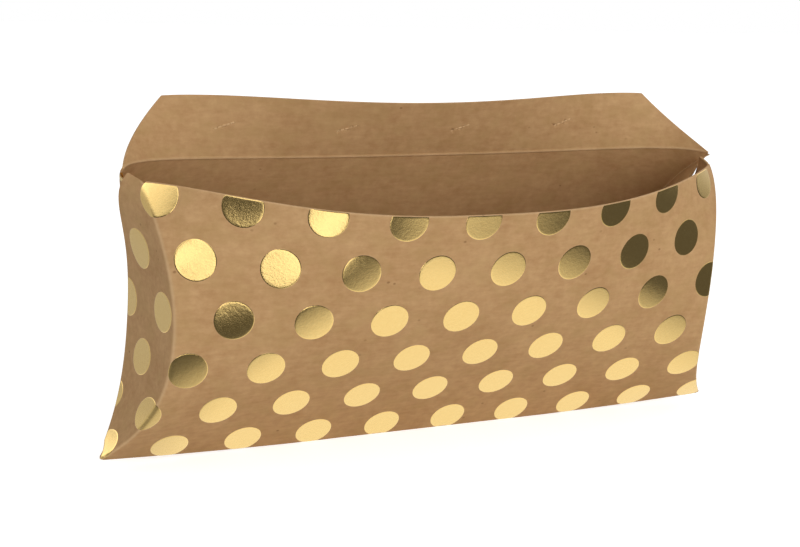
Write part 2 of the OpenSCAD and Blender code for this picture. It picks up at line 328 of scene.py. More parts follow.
    def end_top(self, side: Side) -> float:
        """Height that an end flap's card reaches on the flat blank."""
        if side is Side.BACK:
            return self.back_height - self.fold
        return self.front_height + self.rim_rise + self.tip_rise

    def past(self, u: np.ndarray, v: np.ndarray) -> np.ndarray:
        """Distance past the end crease, negative on the panel."""
        return np.abs(u) - self.reach(np.clip(v, 0, self.back_height))

    def place(self, side: Side, u: np.ndarray, v: np.ndarray) -> np.ndarray:
        """Middle of the card anywhere on the blank, creases and flaps included.

        Args:
            side: The large panel whose foot v counts from.
            u: Places along the blank.
            v: Heights on the flat blank. Negative ones lie round the bottom fold.

        Returns:
            Points, one for each place.
        """
        u, v = np.broadcast_arrays(np.asarray(u, float), np.asarray(v, float))
        fold, tall = self.fold, self.back_height
        level = np.clip(v, fold, self.end_top(side))
        sign = np.where(u < 0, -1.0, 1.0)
        reach = self.reach(level)
        past = np.abs(u) - reach
        crease = self.sheet(side, sign * reach, level)
        way = self.end_way(side, sign, level)
        panel = self.sheet(side, sign * np.minimum(np.abs(u), reach), level)
        bend = self.bent(self.sheet(side, sign * (reach - fold), level), crease,
                         crease + fold * way, (past + fold) / (2 * fold))
        beyond = crease + np.maximum(past, 0)[..., None] * way
        points = np.where((past < -fold)[..., None], panel,
                          np.where((past < fold)[..., None], bend, beyond))
        # The bottom fold, round to the other panel's foot.
        inside = sign * np.minimum(np.abs(u), self.fold_reach())
        here = np.full_like(u, fold)
        other = Side.BACK if side is Side.FRONT else Side.FRONT
        foot = self.bent(self.sheet(side, inside, here), self.sheet(side, inside, np.zeros_like(u)),
                         self.sheet(other, inside, here), (fold - v) / (2 * fold))
        points = np.where(((v < fold) & (past < 0))[..., None], foot, points)
        if side is Side.BACK:
            # The score, and the closure flap above it.
            w, near = v - tall, self.score
            score = self.bent(self.sheet(side, inside, np.full_like(u, tall - near)),
                              self.sheet(side, inside, np.full_like(u, tall)),
                              self.flap(inside, np.full_like(u, near)), (w + near) / (2 * near))
            high = (w > -fold) & (past < 0)
            points = np.where(high[..., None],
                              self.sheet(side, inside, np.minimum(v, tall)), points)
            points = np.where((high & (w > -near))[..., None], score, points)
            points = np.where((w > near)[..., None], self.flap(inside, w), points)
        return points

    @staticmethod
    def bent(a: np.ndarray, b: np.ndarray, c: np.ndarray, t: np.ndarray) -> np.ndarray:
        """Card bent round the line b, from a to c, for t from 0 to 1."""
        t = np.clip(t, 0, 1)[..., None]
        return (1 - t) ** 2 * a + 2 * t * (1 - t) * b + t**2 * c

    def outward(self, side: Side, u: np.ndarray, v: np.ndarray) -> np.ndarray:
        """Unit normal of the card's outer face."""
        step = self.probe
        along = self.place(side, u + step, v) - self.place(side, u - step, v)
        up = self.place(side, u, v + step) - self.place(side, u, v - step)
        normal = side.value * np.cross(up, along)
        return normal / np.maximum(np.linalg.norm(normal, axis=-1, keepdims=True), 1e-12)

    def off(self, side: Side, u: np.ndarray, v: np.ndarray, rise: np.ndarray) -> np.ndarray:
        """Points at a distance from the middle of the card, never below the ground."""
        rise = np.broadcast_to(rise, np.shape(u))
        points = self.place(side, u, v) + self.outward(side, u, v) * rise[..., None]
        points[..., 2] = np.maximum(points[..., 2], 0)
        return points

    def crease_wear(self, side: Side, u: np.ndarray, v: np.ndarray) -> np.ndarray:
        """How near a point is to a crease or a long cut edge, 0 to 1, where the card gets a painted
        highlight.
        """
        top = self.back_height if side is Side.BACK else self.rim(
            np.minimum(np.abs(u) / self.half, 1), self.front_height)
        lines = [(self.past(u, v), self.fold / 2), (v, self.fold / 2), (v - top, self.score / 2)]
        return np.max([np.exp(-((line / width) ** 2)) for line, width in lines], axis=0)


class Wire:
    """An output socket in a node tree, so that shader maths reads as Python."""

    def __init__(self, tree: bpy.types.NodeTree, socket: bpy.types.NodeSocket | None) -> None:
        """Keep the tree and the socket, if the node has one."""
        self.tree = tree
        self.socket = socket

    def _math(self, operation: str, *values: "Wire | float") -> "Wire":
        """Add one Math node.

        Args:
            operation: The node's operation.
            values: What its sockets take.

        Returns:
            The node's output.
        """
        node = self.tree.nodes.new("ShaderNodeMath")
        node.operation = operation
        for place, value in zip(node.inputs, values):
            plug(self.tree, place, value)
        return Wire(self.tree, node.outputs[0])

    def __add__(self, other: "Wire | float") -> "Wire":
        """Add."""
        return self._math("ADD", self, other)

    def __radd__(self, other: float) -> "Wire":
        """Add to a number."""
        return self._math("ADD", other, self)

    def __sub__(self, other: "Wire | float") -> "Wire":
        """Subtract."""
        return self._math("SUBTRACT", self, other)

    def __rsub__(self, other: float) -> "Wire":
        """Subtract from a number."""
        return self._math("SUBTRACT", other, self)

    def __mul__(self, other: "Wire | float") -> "Wire":
        """Multiply."""
        return self._math("MULTIPLY", self, other)

    def __rmul__(self, other: float) -> "Wire":
        """Multiply a number."""
        return self._math("MULTIPLY", other, self)

    def __truediv__(self, other: "Wire | float") -> "Wire":
        """Divide."""
        return self._math("DIVIDE", self, other)

    def size(self) -> "Wire":
        """Drop the sign."""
        return self._math("ABSOLUTE", self)

    def between(self, low: float, high: float) -> "Wire":
        """Ramp from 0 at low to 1 at high, held at both ends."""
        node = self.tree.nodes.new("ShaderNodeMapRange")
        node.clamp = True
        for name, value in (("Value", self), ("From Min", low), ("From Max", high)):
            plug(self.tree, node.inputs[name], value)
        return Wire(self.tree, node.outputs[0])


def plug(tree: bpy.types.NodeTree, socket: bpy.types.NodeSocket, value: object) -> None:
    """Link a wire to a socket, or set the socket's value.

    Args:
        tree: The node tree.
        socket: The input socket.
        value: A wire, a number, a vector or a colour.
    """
    if isinstance(value, Wire):
        tree.links.new(value.socket, socket)
    elif socket.type == "RGBA":
        socket.default_value = (*value[:3], 1.0)
    else:
        socket.default_value = value


class Recipe:
    """The nodes of one material or of the world."""

    def __init__(self, tree: bpy.types.NodeTree) -> None:
        """Start from an empty tree."""
        tree.nodes.clear()
        self.tree = tree

    def add(self, kind: str, settings: dict[str, object] | None = None,
            inputs: dict[str | int, object] | None = None, output: str | int = 0) -> Wire:
        """Add one node.

        Args:
            kind: The node's type.
            settings: Its properties, set first.
            inputs: Values or wires for its sockets, by name or number.
            output: The socket to return.

        Returns:
            The chosen output.
        """
        node = self.tree.nodes.new(kind)
        for name, value in (settings or {}).items():
            setattr(node, name, value)
        for name, value in (inputs or {}).items():
            plug(self.tree, node.inputs[name], value)
        return Wire(self.tree, node.outputs[output] if len(node.outputs) else None)

    def mix(self, share: Wire, a: Wire | Colour, b: Wire | Colour) -> Wire:
        """Mix two colours by a share of the second."""
        node = self.tree.nodes.new("ShaderNodeMix")
        node.data_type = "RGBA"
        plug(self.tree, node.inputs[0], share)
        plug(self.tree, node.inputs[6], a)
        plug(self.tree, node.inputs[7], b)
        return Wire(self.tree, node.outputs[2])

    def stretched(self, scale: Triple) -> Wire:
        """Object coordinates, scaled along each axis."""
        place = self.add("ShaderNodeTexCoord", output="Object")
        return self.add("ShaderNodeVectorMath", {"operation": "MULTIPLY"}, {0: place, 1: scale})

    def noise(self, scale: float, detail: float = 3.0, rough: float = 0.55,
              stretch: Triple = (1.0, 1.0, 1.0)) -> Wire:
        """Noise over the object, from about 0.2 to 0.8."""
        return self.add("ShaderNodeTexNoise", None, {
            "Vector": self.stretched(stretch), "Scale": scale, "Detail": detail,
            "Roughness": rough})

    def rays(self, kind: str) -> Wire:
        """1 for light rays of a kind, such as Camera, and 0 for the others."""
        return self.add("ShaderNodeLightPath", output=f"Is {kind} Ray")


def finish_material(name: str) -> tuple[bpy.types.Material, Recipe]:
    """Start a material with an empty tree."""
    material = bpy.data.materials.new(name)
    material.use_nodes = True
    return material, Recipe(material.node_tree)


@dataclass(frozen=True)
class KraftFinish:
    """Uncoated kraft card: cloudy brown with fibres and a few dark specks."""

    name: str
    light: Colour = tone(199, 160, 114)
    dark: Colour = tone(177, 136, 92)
    green: Colour = tone(178, 145, 94)
    speck: Colour = tone(112, 76, 42)
    # Paler tone, and its share, for a painted highlight along creases, the score and cut edges.
    highlight_colour: Colour = tone(220, 186, 142)
    wear: float = 0.5
    roughness: float = 0.82
    relief: float = 0.00003

    def build(self) -> bpy.types.Material:
        """Make the material.

        Returns:
            The material.
        """
        material, recipe = finish_material(self.name)
        cloud = recipe.noise(85.0, 2.0)
        mottle = recipe.noise(430.0, 4.0, 0.62)
        fibre = recipe.noise(950.0, 3.0, 0.6, (0.28, 1.0, 1.0))
        hue = recipe.noise(150.0, 2.0, 0.5, (1.0, 1.0, 1.6)).between(0.45, 0.68)
        shade = (cloud * 0.3 + mottle * 0.4 + fibre * 0.3).between(0.36, 0.64)
        colour = recipe.mix(shade, self.dark, self.light)
        colour = recipe.mix(hue * 0.35, colour, self.green)
        grain = recipe.add("ShaderNodeTexVoronoi", None, {
            "Vector": recipe.stretched((0.75, 1.0, 1.0)), "Scale": 260.0, "Randomness": 1.0})
        chosen = recipe.noise(70.0, 1.0).between(0.53, 0.61)
        specks = (1 - grain.between(0.05, 0.1)) * chosen
        colour = recipe.mix(specks * 0.55, colour, self.speck)
        # Painted highlight: the card turns paler near creases, the score and cut edges.
        wear = recipe.add("ShaderNodeAttribute", {"attribute_name": "crease_wear"}, output="Fac")
        colour = recipe.mix(wear * self.wear * (0.6 + 0.8 * mottle), colour, self.highlight_colour)
        height = fibre * 0.6 + mottle * 0.3 - specks * 0.2
        normal = recipe.add("ShaderNodeBump", None, {
            "Height": height, "Distance": self.relief, "Strength": 0.8}, "Normal")
        surface = recipe.add("ShaderNodeBsdfPrincipled", None, {
            "Base Color": colour, "Roughness": self.roughness + (mottle - 0.5) * 0.12,
            "Normal": normal, "Specular IOR Level": 0.25})
        recipe.add("ShaderNodeOutputMaterial", None, {"Surface": surface})
        return material


@dataclass(frozen=True)
class FoilFinish:
    """Hot-stamped gold foil, which shows the card's fibres through it."""

    name: str
    gold: Colour = (0.98, 0.70, 0.27)
    deep: Colour = (0.94, 0.65, 0.24)
    roughness: float = 0.17
    relief: float = 0.00005

    def build(self) -> bpy.types.Material:
        """Make the material.

        Returns:
            The material.
        """
        material, recipe = finish_material(self.name)
        grain = recipe.noise(1500.0, 3.0, 0.7)
        fleck = recipe.noise(4200.0, 2.0, 0.6)
        wave = recipe.noise(220.0, 2.0, 0.5)
        shade = (grain * 0.6 + fleck * 0.4).between(0.42, 0.62)
        colour = recipe.mix(shade, self.deep, self.gold)
        normal = recipe.add("ShaderNodeBump", None, {
            "Height": grain * 0.5 + fleck * 0.2 + wave * 0.6, "Distance": self.relief,
            "Strength": 1.0}, "Normal")
        surface = recipe.add("ShaderNodeBsdfPrincipled", None, {
            "Base Color": colour, "Metallic": 1.0,
            "Roughness": self.roughness + (grain - 0.5) * 0.12, "Normal": normal})
        recipe.add("ShaderNodeOutputMaterial", None, {"Surface": surface})
        return material


@dataclass
class Workshop:
    """Holds the finishes and turns points into pieces of the scene."""

    blank: Blank
    card: bpy.types.Material = field(init=False)
    edge: bpy.types.Material = field(init=False)
    torn: bpy.types.Material = field(init=False)
    foil: bpy.types.Material = field(init=False)
    sharp: float = 40.0

    def __post_init__(self) -> None:
        """Make the finishes once."""
        self.card = KraftFinish("kraft card").build()
        # The cut edges are painted paler than the faces of the card: a painted highlight along them.
        self.edge = KraftFinish("cut edge of the card", light=tone(210, 173, 128),
                                dark=tone(188, 148, 104), wear=0.1).build()
        self.torn = KraftFinish("torn fibres", light=tone(226, 190, 144),
                                dark=tone(196, 156, 112), wear=0.0).build()
        self.foil = FoilFinish("gold foil").build()

    def piece(self, name: str, points: np.ndarray, faces: Faces,
              materials: list[bpy.types.Material], chosen: np.ndarray | None = None,
              wear: np.ndarray | None = None) -> bpy.types.Object:
        """Make one smooth-shaded object, whose sharpest edges stay sharp.

        Args:
            name: The object's name.
            points: Its vertices.
            faces: Its faces, as vertex numbers.
            materials: Its material slots.
            chosen: The slot of each face.
            wear: How much of the painted highlight each vertex takes.

        Returns:
            The object.
        """
        mesh = bpy.data.meshes.new(name)
        mesh.from_pydata(points.reshape(-1, 3).tolist(), [], faces)
        for material in materials:
            mesh.materials.append(material)
        if chosen is not None:
            mesh.polygons.foreach_set("material_index", chosen.astype(np.int32))
        if wear is not None:
            mesh.attributes.new("crease_wear", "FLOAT", "POINT").data.foreach_set(
                "value", wear.reshape(-1).astype(np.float32))
        mesh.update()
        mesh.polygons.foreach_set("use_smooth", [True] * len(mesh.polygons))
        mesh.set_sharp_from_angle(angle=math.radians(self.sharp))
        made = bpy.data.objects.new(name, mesh)
        bpy.context.scene.collection.objects.link(made)
        return made

    def plate(self, name: str, side: Side, u: np.ndarray, v: np.ndarray,
              bead: np.ndarray | float = 0.0) -> bpy.types.Object:
        """Make a stretch of card between two skins.

        Args:
            name: The object's name.
            side: The panel whose foot v counts from.
            u: Grid of places along the blank, in rows.
            v: Grid of heights on the blank.
            bead: Extra thickness on the inner face, over the grid.

        Returns:
            The object.
        """
        half = self.blank.card / 2
        outer = self.blank.off(side, u, v, np.full(u.shape, half))
        inner = self.blank.off(side, u, v, -(half + np.broadcast_to(bead, u.shape)))
        number = np.arange(u.size).reshape(u.shape)
        quads = self.quads(number)
        loop = np.concatenate([number[0, :-1], number[:-1, -1], number[-1, :0:-1],
                               number[:0:-1, 0]])
        after = np.roll(loop, -1)
        rim = np.stack([loop, loop + u.size, after + u.size, after], 1)
        faces = np.concatenate([quads, u.size + quads[:, ::-1], rim])
        if side is Side.BACK:
            faces = faces[:, ::-1]
        slots = np.concatenate([np.zeros(2 * len(quads)), np.ones(len(rim))])
        # Share of the painted highlight, near creases, the score and cut edges.
        wear = self.blank.crease_wear(side, u, v)
        return self.piece(name, np.concatenate([outer.reshape(-1, 3), inner.reshape(-1, 3)]),
                          [tuple(face) for face in faces.tolist()], [self.card, self.edge], slots,
                          np.concatenate([wear.ravel(), wear.ravel()]))

    @staticmethod
    def quads(number: np.ndarray) -> np.ndarray:
        """Faces between the points of a grid, given the points' numbers in rows."""
        return np.stack([number[:-1, :-1], number[:-1, 1:], number[1:, 1:], number[1:, :-1]],
                        -1).reshape(-1, 4)


@dataclass
class Panels:
    """The two large panels and the bottom fold between them."""

    shop: Workshop
    rows: int = 60
    columns: int = 150
    fold_rows: int = 9

    def grid(self, side: Side) -> tuple[np.ndarray, np.ndarray]:
        """Spread points over a panel between its end creases.

        Args:
            side: The panel.

        Returns:
            Places and heights, in rows.
        """
        blank = self.shop.blank
        high = blank.front_height if side is Side.FRONT else blank.back_height - blank.fold
        across = np.linspace(-1, 1, self.columns + 1)[None, :]
        heights = np.append(np.linspace(blank.fold, high, self.rows), high - blank.score)
        v = np.repeat(np.sort(heights)[:, None], across.size, 1)
        if side is Side.FRONT:
            v = blank.rim(across, v)
        return across * (blank.reach(v[:, -1:]) - blank.fold), v

    def build(self) -> list[bpy.types.Object]:
        """Make the panels and the fold.

        Returns:
            The three pieces.
        """
        blank, shop = self.shop.blank, self.shop
        front = shop.plate("front_card", Side.FRONT, *self.grid(Side.FRONT))
        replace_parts(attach(front, "front"), "front_panel")
        back = shop.plate("back_card", Side.BACK, *self.grid(Side.BACK))
        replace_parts(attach(back, "back"), "back_panel")
        levels = np.linspace(-blank.fold, blank.fold, self.fold_rows)
        across = np.linspace(-1, 1, self.columns + 1) * blank.fold_reach()
        fold = shop.plate("fold_card", Side.FRONT, *np.meshgrid(across, levels))
        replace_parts(fold, "bottom_fold")
        self.hinge(fold)
        return [front, back, fold]

    def hinge(self, fold: bpy.types.Object) -> None:
        """Let the bottom fold bend from the back panel to the front one."""
        blank = self.shop.blank
        down = Vector((0.0, -blank.fold_lift, -blank.fold_curl)).normalized()
        near = blank.sheet(Side.BACK, np.array(0.0), np.array(blank.fold)) @ np.array(down)
        far = blank.sheet(Side.FRONT, np.array(0.0), np.array(blank.fold)) @ np.array(down)
        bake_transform(fold, "back", "front", tuple(down * float(near)), tuple(down * float(far)))


@dataclass
class ClosureFlap:
    """The flap above the mouth, with its score and its perforated marks."""

    shop: Workshop
    bead: float = 0.00014
    columns: int = 170
    marks: int = 4
    mark_pitch: float = 0.03175
    mark_shift: float = -0.0051
    mark_length: float = 0.0056
    mark_height: float = 0.0077
    mark_slant: float = 18.0
    cuts: int = 5
    cut_share: float = 0.6
    cut_width: float = 0.00016
    cut_depth: float = 0.0009
    burr_share: float = 0.95
    burr_width: float = 0.00042
    burr_height: float = 0.00013
    burr_shift: float = 0.2
    burr_sunk: float = 0.00002
    step: float = 0.0001
    bend_height: float = 0.005

    def hinge(self, piece: bpy.types.Object) -> None:
        """Let a piece bend from the back panel to the flap, starting at the curved score."""
        blank = self.shop.blank
        middle = blank.sheet(Side.BACK, np.array(0.0), np.array(blank.back_height))
        end = blank.sheet(Side.BACK, np.array(blank.fold_reach()), np.array(blank.back_height))
        across = Vector((0.0, *(end - middle)[1:])).normalized()
        up = Vector((0.0, across.z, -across.y))
        up = up if up.z > 0 else -up
        start = Vector(middle.tolist())
        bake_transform(piece, "back", "flap", tuple(start), tuple(start + up * self.bend_height))

    def build(self) -> list[bpy.types.Object]:
        """Make the flap and the torn fibres along its marks.

        Returns:
            The two pieces.
        """
        blank = self.shop.blank
        tall, fold, score = blank.back_height, blank.fold, blank.score
        levels = np.concatenate([np.linspace(tall - fold, tall - score, 4)[:-1],
                                 np.linspace(tall - score, tall + score, 13),
                                 np.linspace(tall + score, tall + fold, 4)[1:],
                                 np.linspace(tall + fold, tall + blank.flap_height, 15)[1:]])
        across = np.linspace(-1, 1, self.columns + 1)
        reach = blank.flap_reach(levels - tall)
        v = np.repeat(levels[:, None], len(across), 1)
        t = np.clip((v - tall + score) / (2 * score), 0, 1)
        flap = self.shop.plate("flap_card", Side.BACK, across[None, :] * reach[:, None], v,
                               self.bead * 4 * t * (1 - t))
        self.cut(flap)
        fibres = self.fibres()
        for piece in (flap, fibres):
            self.hinge(piece)
        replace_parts(flap, "closure_flap", "flap_fold")
        return [flap, fibres]

    def places(self) -> Iterable[tuple[np.ndarray, np.ndarray, np.ndarray, np.ndarray]]:
        """Go through the cuts.

        Yields:
            The middle of each cut on the inner face, the way along it, across it and out of
            the card.
        """
        blank = self.shop.blank
        slant = math.radians(self.mark_slant)
        for mark in range(self.marks):
            middle = self.mark_shift + (mark - (self.marks - 1) / 2) * self.mark_pitch
            for k in range(self.cuts):
                run = (k - (self.cuts - 1) / 2) * self.mark_length / self.cuts
                u = np.array([middle + run * math.cos(slant)])
                v = np.array([blank.back_height + self.mark_height + run * math.sin(slant)])
                ahead = blank.place(Side.BACK, u + self.step * math.cos(slant),
                                    v + self.step * math.sin(slant))
                here = blank.place(Side.BACK, u, v)
                inward = -blank.outward(Side.BACK, u, v)[0]
                along = (ahead - here)[0] / np.linalg.norm(ahead - here)
                yield here[0] + inward * blank.card / 2, along, np.cross(inward, along), inward

    def cut(self, flap: bpy.types.Object) -> None:
        """Cut the marks through the card."""
        length = self.mark_length / self.cuts * self.cut_share
        corners = np.array([[x, y, z] for z in (-1, 1) for y in (-1, 1) for x in (-1, 1)])
        sides = [(0, 2, 3, 1), (4, 5, 7, 6), (0, 1, 5, 4), (2, 6, 7, 3), (0, 4, 6, 2), (1, 3, 7, 5)]
        points, faces = [], []
        for middle, along, across, inward in self.places():
            base = len(points) * 8
            half = np.stack([along * length / 2, across * self.cut_width / 2,
                             inward * self.cut_depth])
            points.append(middle + corners @ half)
            faces += [tuple(base + k for k in face) for face in sides]
        knife = self.shop.piece("mark_knife", np.concatenate(points), faces, [self.shop.edge])
        modifier = flap.modifiers.new("marks", "BOOLEAN")
        modifier.operation = "DIFFERENCE"
        modifier.solver = "EXACT"
        modifier.object = knife
        shaped = bpy.data.meshes.new_from_object(
            flap.evaluated_get(bpy.context.evaluated_depsgraph_get()))
        flap.modifiers.clear()
        flap.data = shaped
        bpy.data.objects.remove(knife)

    def fibres(self) -> bpy.types.Object:
        """Raise a small pale burr beside each cut.

        Returns:
            The burrs, as one piece.
        """
        length, width = self.mark_length / self.cuts * self.burr_share, self.burr_width
        x, y = np.meshgrid(np.linspace(-1, 1, 9), np.linspace(-1, 1, 7))
        bump = (1 - x**2) * (1 - y**2) ** 0.5
        points, faces = [], []
        for number, (middle, along, across, inward) in enumerate(self.places()):
            lift = self.burr_height * (0.35 + ((number * 7) % 5) / 4)
            mound = (middle + (x * length / 2)[..., None] * along
                     + (y * width / 2 + width * self.burr_shift)[..., None] * across
                     + (bump * lift - self.burr_sunk)[..., None] * inward)
            base = len(points) * x.size
            points.append(mound.reshape(-1, 3))
            quads = self.shop.quads(base + np.arange(x.size).reshape(x.shape))
            faces += [tuple(face) for face in quads.tolist()]
        return self.shop.piece("mark_fibres", np.concatenate(points), faces, [self.shop.torn])


@dataclass
class EndFlap:
    """One end flap with its curved crease."""

    shop: Workshop
    side: Side
    end: End
    rows: int = 64
    bend_width: float = 0.007
    least_width: float = 0.00002
    tip_bend: float = 0.0002
    spare: float = 0.00001

    @property
    def body(self) -> str:
        """The body that the flap moves with."""
        return f"{self.end.name.lower()}_{'outer' if self.side is Side.FRONT else 'inner'}"

    @property
    def panel_body(self) -> str:
        """The body of the panel that the flap hangs on."""
        return self.side.name.lower()

    def hinge(self, piece: bpy.types.Object) -> None:
        """Let a piece bend past the upright plane that holds the curved crease."""
        blank = self.shop.blank
        heights = np.array([blank.fold, blank.back_height / 2])
        corner, middle = blank.sheet(self.side, self.end.value * blank.reach(heights), heights)
        chord = Vector((*(corner - middle)[:2], 0.0)).normalized()
        away = Vector((-chord.y, chord.x, 0.0))
        leaving = Vector(blank.end_way(self.side, np.array(float(self.end.value)), heights[1]))
        away = away if away.dot(leaving) > 0 else -away
        start = Vector(middle.tolist())
        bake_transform(piece, self.panel_body, self.body, tuple(start),
                 tuple(start + away * self.bend_width))

    def build(self) -> bpy.types.Object:
        """Make the crease and the flap as one piece.

        Returns:
            The piece.
        """
        blank = self.shop.blank
        fold = blank.fold
        heights = np.linspace(fold, blank.end_top(self.side), self.rows)
        width = np.maximum(blank.end_width(self.side, heights), self.least_width)[:, None]
        near = np.minimum(width, fold)
        foot = np.full_like(near, -fold)
        if self.side is Side.FRONT:
            above = heights[:, None] - blank.front_height - blank.rim_rise
            foot = np.where(above > 0, above / blank.tip_rise * blank.tip_width, foot)
            near = np.maximum(near, np.minimum(foot + self.tip_bend, width))
        bend = foot + (near - foot) * np.linspace(0, 1, 7)[None, :]
        left = np.maximum(width, near) - near + self.spare
        rest = near + left * np.linspace(0, 1, 14)[None, 1:]
        past = np.concatenate([bend, rest], 1)
        u = self.end.value * (blank.reach(heights)[:, None] + past)
        v = np.repeat(heights[:, None], u.shape[1], 1)
        if self.end is End.LEFT:
            u, v = u[:, ::-1], v[:, ::-1]
        piece = self.shop.plate(f"{self.body}_card", self.side, u, v)
        self.hinge(piece)
        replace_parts(piece, f"{self.body}_end_flap", f"{self.body}_fold")
        return piece


class Ground(Enum):
    """The piece of foil that a dot belongs to."""

    PANEL = "panel"
    FLAP = "flap"
    END = "end"


@dataclass
class FoilDots:
    """The polka dots stamped over the outer face of the blank, on one large panel's side."""

    shop: Workshop
    side: Side
    radius: float = 0.00475
    pitch: float = 0.01905
    row_pitch: float = 0.01315
    first_row: float = 0.0048
    first_dot: float = 0.01705
    proud: float = 0.00006
    bevel: float = 0.00028
    spokes: int = 56
    rings: int = 9
    edge_gap: float = 0.00004
    foot_gap: float = 0.00016
    least_share: float = 0.03

    def centres(self) -> list[tuple[float, float]]:
        """Middles of the dots on the flat blank, as seen from the panel's foot."""
        blank = self.shop.blank
        found = []
        for j in range(-8, 9):
            v = -self.side.value * (self.first_row + j * self.row_pitch)
            if -self.radius < v < blank.back_height + blank.flap_height + self.radius:
                found += [(self.first_dot - blank.half + (i - (j % 2) / 2) * self.pitch, v)
                          for i in range(-3, 13)]
        return found

    def inside(self, u: np.ndarray, v: np.ndarray) -> np.ndarray:
        """Which points lie on the card of this side."""
        blank, gap = self.shop.blank, self.edge_gap
        past = blank.past(u, v)
        width = blank.end_width(self.side, np.clip(v, 0, blank.back_height))
        on = (v > self.foot_gap) & (past < width - gap)
        if self.side is Side.FRONT:
            rim = blank.rim(np.minimum(np.abs(u) / blank.half, 1), blank.front_height)
            above = (v - blank.front_height - blank.rim_rise) / blank.tip_rise
            tip = (past > np.maximum(above, 0) * blank.tip_width + gap) & (above < 1)
            return on & ((v < rim - gap) | tip)
        w = v - blank.back_height
        limit = np.where(w > -blank.fold, blank.flap_reach(w) - gap, blank.box_length)
        return on & (w < blank.flap_height - gap) & (np.abs(u) < limit)

    def split(self, u: float, v: float) -> list[tuple[Ground, Zone]]:
        """Say which pieces of foil hold a dot.

        Args:
            u: The dot's place along the blank.
            v: Its height.

        Returns:
            Each piece with the zone of the blank that it covers there.
        """
        blank = self.shop.blank
        turn = np.linspace(0, 2 * np.pi, 24, endpoint=False)
        edge_u, edge_v = u + self.radius * np.cos(turn), v + self.radius * np.sin(turn)
        score = blank.back_height
        over_end = bool(np.any((blank.past(edge_u, edge_v) > -blank.fold) & (edge_v < score)))
        over_score = self.side is Side.BACK and bool(np.any(edge_v > score - blank.fold))
        if over_end and over_score:
            return [(Ground.END, lambda a, b: self.inside(a, b) & (b < score - blank.fold)),
                    (Ground.FLAP, lambda a, b: self.inside(a, b) & (b > score))]
        if over_score:
            return [(Ground.FLAP, self.inside)]
        return [(Ground.END if over_end else Ground.PANEL, self.inside)]

    def outline(self, u: float, v: float, zone: Zone) -> tuple[np.ndarray, np.ndarray] | None:
        """Find where a dot lies on its zone.

        Args:
            u: The dot's place along the blank.
            v: Its height.
            zone: Which points count.

        Returns:
            A point inside and the points of the edge, or nothing where too little is left.
        """
        radii = np.linspace(0, 0.97, 9)[:, None] * self.radius
        turn = np.linspace(0, 2 * np.pi, 36, endpoint=False)[None, :]
        sample = np.stack([(u + radii * np.cos(turn)).ravel(),
                           (v + radii * np.sin(turn)).ravel()], 1)
        share = np.repeat(radii.ravel(), turn.size)
        held = zone(sample[:, 0], sample[:, 1])
        if not held.any() or (share * held).sum() < self.least_share * share.sum():
            return None
        middle = (sample * (share * held)[:, None]).sum(0) / (share * held).sum()
        if not zone(middle[:1], middle[1:])[0]:
            return None
        turn = np.linspace(0, 2 * np.pi, self.spokes, endpoint=False)
        way = np.stack([np.cos(turn), np.sin(turn)], 1)
        near, far = np.zeros(self.spokes), np.full(self.spokes, 2 * self.radius)
        for _ in range(16):
            half = (near + far) / 2
            point = middle + way * half[:, None]
            ok = zone(point[:, 0], point[:, 1]) & (np.hypot(*(point - (u, v)).T) < self.radius)
            near, far = np.where(ok, half, near), np.where(ok, far, half)
        return middle, middle + way * near[:, None]

    def mesh(self, middle: np.ndarray, edge: np.ndarray) -> tuple[np.ndarray, Faces]:
        """Lay foil over one dot, rounded off at its edge.

        Args:
            middle: A point inside the dot, on the blank.
            edge: The points of its edge.

        Returns:
            Vertices and faces.
        """
        blank = self.shop.blank
        arm = edge - middle
        length = np.linalg.norm(arm, axis=1)
        inner = np.maximum(1 - self.bevel / np.maximum(length, 1e-6), 0.05)
        flats = [inner * share for share in np.linspace(1 / self.rings, 1, self.rings)]
        shares = [*flats, inner + (1 - inner) * 0.5, np.ones(len(edge))]
        rises = [1.0] * self.rings + [0.82, -0.25]
        rings = [middle + arm * share[:, None] for share in shares]
        flat = np.concatenate([middle[None, :], *rings])
        rise = np.concatenate([[1.0], *[np.full(len(edge), level) for level in rises]])
        points = blank.off(self.side, flat[:, 0], flat[:, 1], blank.card / 2 + rise * self.proud)
        n = len(edge)
        faces: Faces = [(0, 1 + k, 1 + (k + 1) % n) for k in range(n)]
        for ring in range(len(shares) - 1):
            base = 1 + ring * n
            faces += [(base + k, base + n + k, base + n + (k + 1) % n, base + (k + 1) % n)
                      for k in range(n)]
        if self.side is Side.BACK:
            faces = [face[::-1] for face in faces]
        return points, faces

    def build(self) -> list[bpy.types.Object]:
        """Make the foil pieces of this side.

        Returns:
            The pieces.
        """
        parts: dict[str, tuple[list[np.ndarray], Faces]] = {}
        for u, v in self.centres():
            for ground, zone in self.split(u, v):
                found = self.outline(u, v, zone)
                if found is None:
                    continue
                points, faces = self.mesh(*found)
                key = ground.value if ground is not Ground.END else ("left" if u < 0 else "right")
                store = parts.setdefault(key, ([], []))
                base = sum(len(made) for made in store[0])
                store[0].append(points)
                store[1].extend(tuple(base + k for k in face) for face in faces)
        return [self.hang(key, np.concatenate(points), faces)
                for key, (points, faces) in sorted(parts.items())]

    def hang(self, key: str, points: np.ndarray, faces: Faces) -> bpy.types.Object:
        """Make one piece of foil and fix it to its card."""
        body = self.side.name.lower()
        if key in ("left", "right"):
            flap = EndFlap(self.shop, self.side, End[key.upper()])
            piece = self.shop.piece(f"{flap.body}_dots", points, faces, [self.shop.foil])
            flap.hinge(piece)
            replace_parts(piece, f"{flap.body}_foil")
        elif key == "flap":
            piece = self.shop.piece("flap_dots", points, faces, [self.shop.foil])
            ClosureFlap(self.shop).hinge(piece)
            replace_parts(piece, "flap_foil")
        else:
            piece = self.shop.piece(f"{body}_dots", points, faces, [self.shop.foil])
            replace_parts(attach(piece, body), f"{body}_foil")
        return piece


